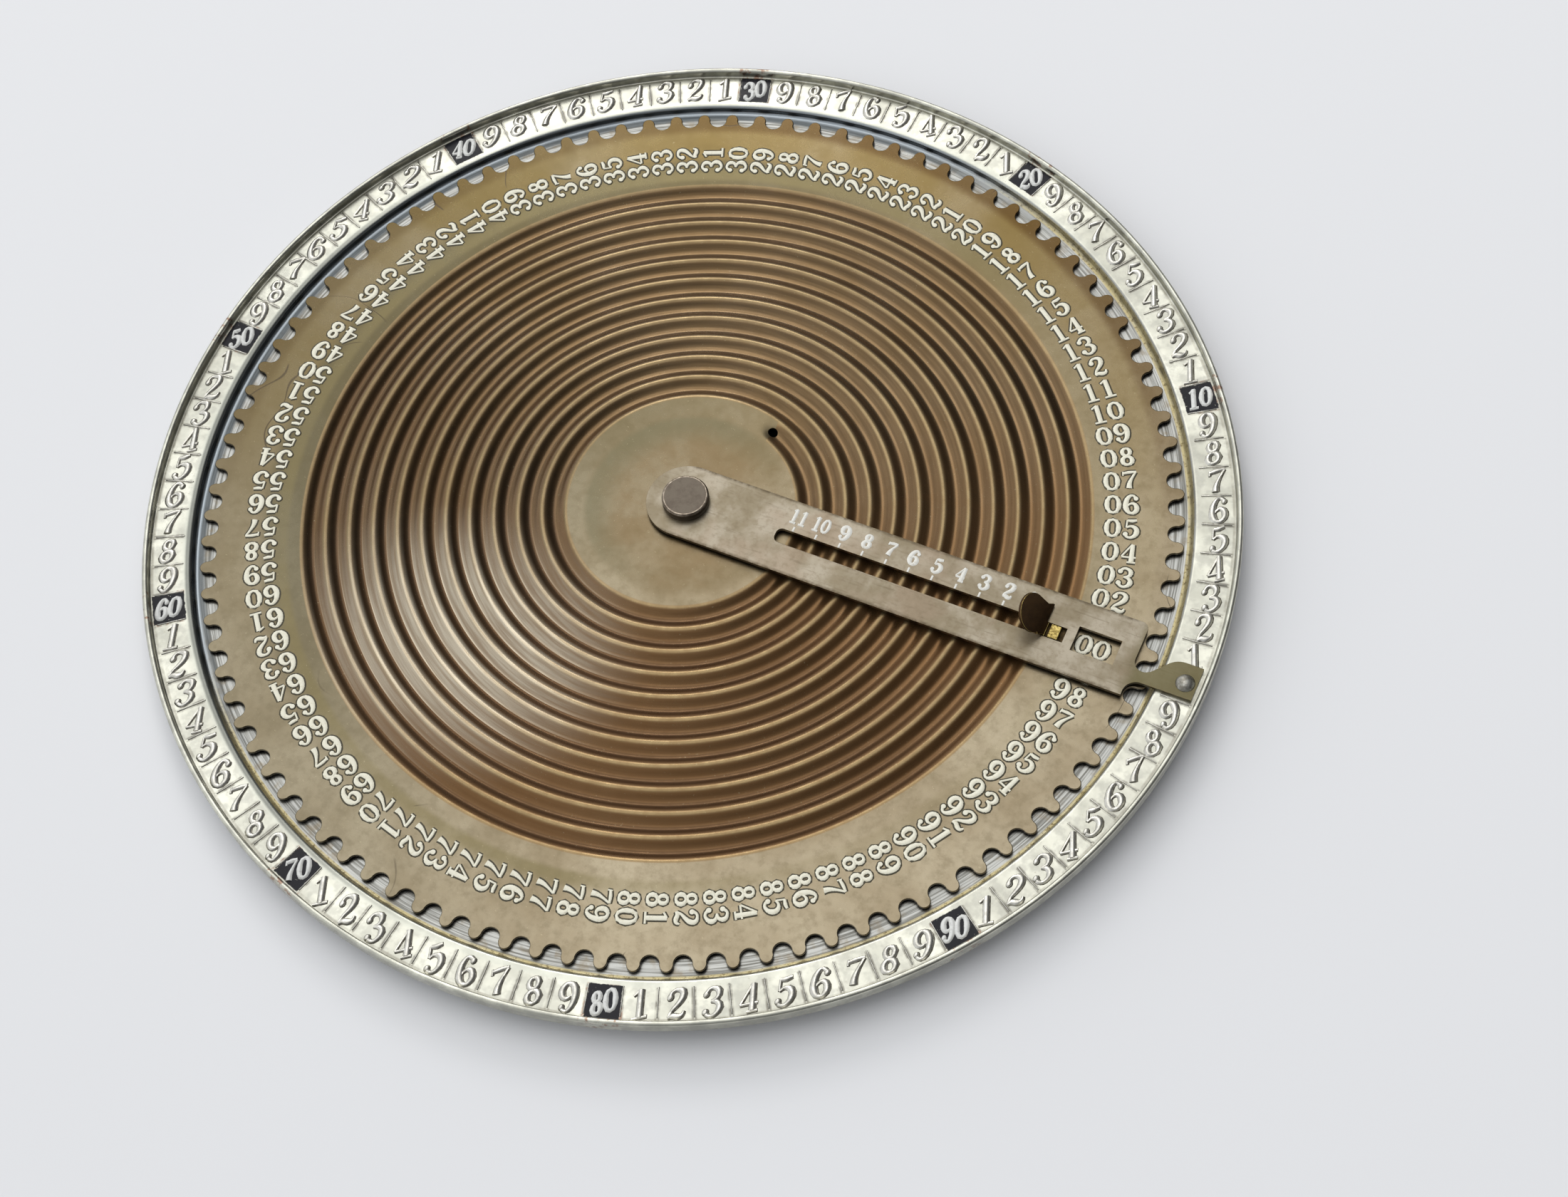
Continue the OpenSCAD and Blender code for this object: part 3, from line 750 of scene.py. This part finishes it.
def make_ring_numbers():
    """Italic numerals, all upright for a reader in front; the tens are white on their boxes."""
    style = numeral_set(height=4.6, width=1.08, weight=1.28, top=0.4, slant=16)
    under = numeral_set(height=4.6, width=1.08, weight=1.28, swell=0.05, top=0.06, slant=16, fineness=2)
    small = numeral_set(height=3.85, width=1.0, weight=1.45, top=0.4, slant=16)
    upright = 36.65  # degrees that turn a numeral upright for the reader in front
    apart = 1.05
    ones, tens = [], []
    for k in range(1, 100):
        x, y = polar(85.15, EACH * k - RING_LAG)
        if k % 10:
            ones.append((str(k % 10), x, y, RING_Z, upright, 1.0))
        else:
            for digit, side in zip(str(k), (-1, 1)):
                dx, dy = polar(apart * side, upright)
                tens.append((digit, x + dx, y + dy, RING_Z, upright, 0.85))
    dress(place_numerals("ring_numbers", style, ones), "base", raised_nickel)
    # the ones again, in dark metal and set 0.1 mm aside: a painted shadow of the raised numerals
    painted_shadow = [(digit, x + 0.1, y, z, turn, squeeze) for digit, x, y, z, turn, squeeze in ones]
    dress(place_numerals("ring_number_shadows", under, painted_shadow), "base", ring_painted_shadow)
    dress(place_numerals("ring_tens", small, tens), "base", silver_paint)
    put_away(style, under, small)


# The numbered disc: a spiral groove inside a flat band with notches


def groove_section(parts=16):
    """Across one turn, crest to crest, as (offset, depth): an even wave."""
    return [(PITCH * (0.5 - i / parts), WAVE_DEPTH * (0.5 - 0.5 * math.cos(2 * math.pi * i / parts)))
            for i in range(parts + 1)]


def eased(share):
    """Held from 0 to 1, and starting and ending gently."""
    share = min(max(share, 0), 1)
    return share * share * (3 - 2 * share)


def make_spiral():
    """The section is screwed up as a helix, and each step then drawn in to its place."""
    around = 200
    step = 360 / around
    before, after = 2 * around + 2, 2 * around  # two turns more at each end, where the sheet is flat
    steps = before + int(GROOVE_END / step) + after
    section = groove_section()
    spiral = wire("disc_groove", [(GROOVE_R + off, -depth) for off, depth in section])
    rise = 10.0
    modify(spiral, "SCREW", axis="Z", angle=math.radians(steps * step), steps=steps, render_steps=steps,
           screw_offset=steps * rise * MM, use_smooth_shade=False, use_normal_calculate=False)
    for vertex in spiral.data.vertices:
        x, y, z = vertex.co / MM
        index = math.ceil((z - 0.001) / rise)
        depth = index * rise - z
        angle = (index - before) * step
        off = math.hypot(x, y) - GROOVE_R
        r = min(max(GROOVE_R + off - PITCH * angle / 360, SPIRAL_IN), SPIRAL_OUT)
        depth *= eased((angle + 4.0) / 3.2) * eased((GROOVE_END + 5.5 - angle) / 9.0)
        vertex.co = Vector((*polar(r, angle), DISC_Z - depth)) * MM
    clean(spiral, 0.004, outward=False)
    # the flat middle, in to the bore
    bpy.ops.object.mode_set(mode="EDIT")
    for inner in (9.0, BORE_R):
        choose(spiral, True, lambda edge: edge.is_boundary
               and edge.verts[0].co.xy.length < (SPIRAL_IN + 1) * MM)
        bpy.ops.mesh.extrude_edges_move()
        mesh = bmesh.from_edit_mesh(spiral.data)
        for vertex in mesh.verts:
            if vertex.select:
                vertex.co.xy = vertex.co.xy.normalized() * inner * MM
        bmesh.update_edit_mesh(spiral.data)
    bpy.ops.mesh.select_all(action="SELECT")
    bpy.ops.mesh.normals_make_consistent(inside=False)
    bpy.ops.object.mode_set(mode="OBJECT")
    if spiral.data.polygons[0].normal.z < 0:
        spiral.data.flip_normals()
    modify(spiral, "SOLIDIFY", thickness=0.42 * MM, offset=-1)
    deselect()
    x, y = polar(GROOVE_R - PITCH * GROOVE_END / 360, GROOVE_END % 360)
    # the hole at the groove's end
    bpy.ops.mesh.primitive_cylinder_add(vertices=32, radius=0.8 * MM, depth=4 * MM,
                                        location=(x * MM, y * MM, 3 * MM))
    punch = bpy.context.object
    modify(spiral, "BOOLEAN", object=punch, operation="DIFFERENCE", solver="EXACT")
    bpy.data.objects.remove(punch)
    smooth(spiral, 50)
    dress(spiral, "disc", bronze, ["number_disc"])


def make_band():
    """One sector with its notch, copied round, made thick and its teeth rounded."""
    flank = [(80.0, 2.513), (79.97, 2.28), (79.87, 2.02), (79.7, 1.8), (79.46, 1.62), (79.15, 1.49)]
    curve = arc(78.75, 0, 1.42, 82, 278, 12)
    outline = [polar(r, math.degrees(t / 80.0) - NOTCH_LAG) for r, t in flank]
    outline += [polar(math.hypot(x, y), math.degrees(math.atan2(y, x)) - NOTCH_LAG) for x, y in curve]
    outline += [polar(r, -math.degrees(t / 80.0) - NOTCH_LAG) for r, t in reversed(flank)]
    outline += [polar(SPIRAL_OUT, a) for a in (-EACH / 2, 0, EACH / 2)]
    band = blank("disc_band", outline, DISC_Z)
    spin(band, 99, copies=True, degrees=360 * 0.99)
    clean(band, 0.01)
    bpy.ops.object.mode_set(mode="EDIT")
    bpy.ops.mesh.select_all(action="SELECT")
    bpy.ops.mesh.extrude_region_move(TRANSFORM_OT_translate={"value": (0, 0, -DISC_T * MM)})
    bpy.ops.mesh.select_all(action="SELECT")
    bpy.ops.mesh.normals_make_consistent(inside=False)
    choose(band, True, lambda edge: min(v.co.xy.length for v in edge.verts) > 74 * MM
           and abs(edge.verts[0].co.z - edge.verts[1].co.z) < 0.01 * MM)
    bpy.ops.mesh.bevel(offset=0.14 * MM, segments=2, material=1)
    bpy.ops.object.mode_set(mode="OBJECT")
    smooth(band, 50)
    two_slots(band)
    dress(band, "disc", [bronze, bronze_edge], ["number_disc"])


def make_disc_numbers():
    """00 to 99, read outwards from the pivot, each with a dark line round it."""
    face = numeral_set(height=3.65, width=1.14, weight=1.42, top=0.16)
    under = numeral_set(height=3.65, width=1.14, weight=1.42, swell=0.17, top=0.08, fineness=2)
    places = []
    for n in range(100):
        for digit, r in zip(f"{n:02d}", (68.55, 71.45)):
            x, y = polar(r, EACH * n)
            places.append((digit, x, y, DISC_Z, EACH * n, 1.0))
    dress(place_numerals("disc_numbers", face, places), "disc", cream)
    dress(place_numerals("disc_number_edges", under, places), "disc", number_edge)
    put_away(face, under)


# The arm, its scale, the stud and the slider


def make_arm():
    """The arm, and on it the marks and numbers of the counter."""
    arm = from_solid("index_arm", "index_arm_cut", 0.09)
    dress(arm, "base", [strip, strip_edge], ["index_arm"])
    style = numeral_set(height=2.8, width=1.05, weight=1.5, top=0.1)
    marks = {11: 18.4, 10: 22.3, 9: 26.4, 8: 30.35, 7: 34.4, 6: 38.35, 5: 42.35, 4: 46.4, 3: 50.4, 2: 54.45,
             1: 58.4}
    places, ticks = [], []
    for number, x in marks.items():
        text = str(number)
        for i, digit in enumerate(text):
            shift = (i - (len(text) - 1) / 2) * 1.5
            places.append((digit, x + shift, 3.9, ARM_TOP, 0, 0.75 if len(text) > 1 else 0.95))
        bpy.ops.mesh.primitive_cube_add(size=MM, location=(x * MM, 1.55 * MM, ARM_TOP * MM))
        tick = bpy.context.object
        tick.scale = (0.34, 0.9, 0.1)
        settle(tick)
        modify(tick, "BEVEL", width=0.04 * MM, segments=2)
        ticks.append(tick)
    scale = join([place_numerals("arm_numbers", style, places), *ticks], "arm_scale")
    put_away(style)
    smooth(scale, 60)
    dress(scale, "base", white)


def make_fittings():
    """The small pieces: those that show get rounded edges, and the bearing's stay as they are."""
    stud = from_solid("pivot_stud", "pivot_stud_turned", 0.3)
    dress(stud, "base", [stud_steel, stud_edge], ["pivot_stud"])
    rivet = from_solid("arm_rivet", "arm_rivet_domed", 0.05)
    dress(rivet, "base", rivet_steel, ["arm_rivet"])
    block = from_solid("slider_block", "slider_block_filed", 0.12)
    dress(block, "slider", hammered, ["slider_block"])
    tab = from_solid("slider_tab", "slider_tab_leaf", 0.12)
    dress(tab, "slider", [leaf, leaf_edge], ["slider_tab"])
    plate = from_solid("slider_plate", "slider_plate_cut", 0.08)
    dress(plate, "slider", brass_painted_shade, ["slider_plate"])
    dress_node("disc_bush", brass)
    for node in ("thrust_washer", "spring_washer", "arm_spacer", "stud_washer", "rivet_washer"):
        dress_node(node, steel)
    pin = from_solid("follower_pin", "follower_pin_turned", 0.3)
    for vertex in pin.data.vertices:  # its end is lifted clear of the groove's bottom
        if vertex.co.z < DISC_Z * MM:
            vertex.co.z += 0.3 * MM
    dress(pin, "slider", brass, ["follower_pin"])


make_pan()
make_ring_lines()
make_ring_numbers()
make_spiral()
make_band()
make_disc_numbers()
make_arm()
make_fittings()


# Floor, lights and camera


def toward(azimuth, height):
    """The direction at an azimuth from the arm and a height above the floor."""
    x, y = polar(math.cos(math.radians(height)), azimuth)
    return Vector((x, y, math.sin(math.radians(height))))


def make_studio():
    """A pale floor, a sky that is brighter on one side, two windows, and the photo's view."""
    deselect()
    bpy.ops.mesh.primitive_plane_add(size=8)
    ground = bpy.context.object
    ground.name = "pale_floor"
    f = Finish("pale_floor", Roughness=0.9)
    f.set(Base_Color=tone(238, 238, 240))
    ground.data.materials.append(f.material)
    world = bpy.data.worlds.new("studio")
    bpy.context.scene.world = world
    world.use_nodes = True
    sky = Tree(world.node_tree)
    way = sky.node("ShaderNodeTexCoord", out="Generated")
    facing = sky.node("ShaderNodeVectorMath", (way, toward(188, 30)), out="Value", operation="DOT_PRODUCT")
    background = sky.nodes["Background"]
    background.inputs["Color"].default_value = (0.95, 0.975, 1.0, 1)
    sky.links.new(sky.step(facing, -0.3, 0.8, 0.12, 1.06).socket, background.inputs["Strength"])
    for name, azimuth, height, distance, size, power in (
            ("window", 128, 74, 1.6, 1.3, 5.6), ("side_window", 122, 38, 1.6, 0.5, 4.0)):
        lamp = bpy.data.lights.new(name, "AREA")
        lamp.shape = "SQUARE"
        lamp.size = size
        lamp.energy = power
        lamp.color = (1.0, 0.985, 0.96)
        holder = bpy.data.objects.new(name, lamp)
        bpy.context.scene.collection.objects.link(holder)
        holder.location = toward(azimuth, height) * distance
        holder.rotation_euler = (-holder.location).to_track_quat("-Z", "Y").to_euler()
    camera = bpy.data.objects.new("camera", bpy.data.cameras.new("camera"))
    bpy.context.scene.collection.objects.link(camera)
    camera.location = (0.126822, -0.176027, 0.36037)
    camera.rotation_euler = (0.498677, 0.077214, 0.423225)
    camera.data.sensor_width = 36
    camera.data.lens = 58.978
    camera.data.clip_start = 0.01
    bpy.context.scene.camera = camera
    bpy.context.scene.view_settings.view_transform = "Standard"


make_studio()
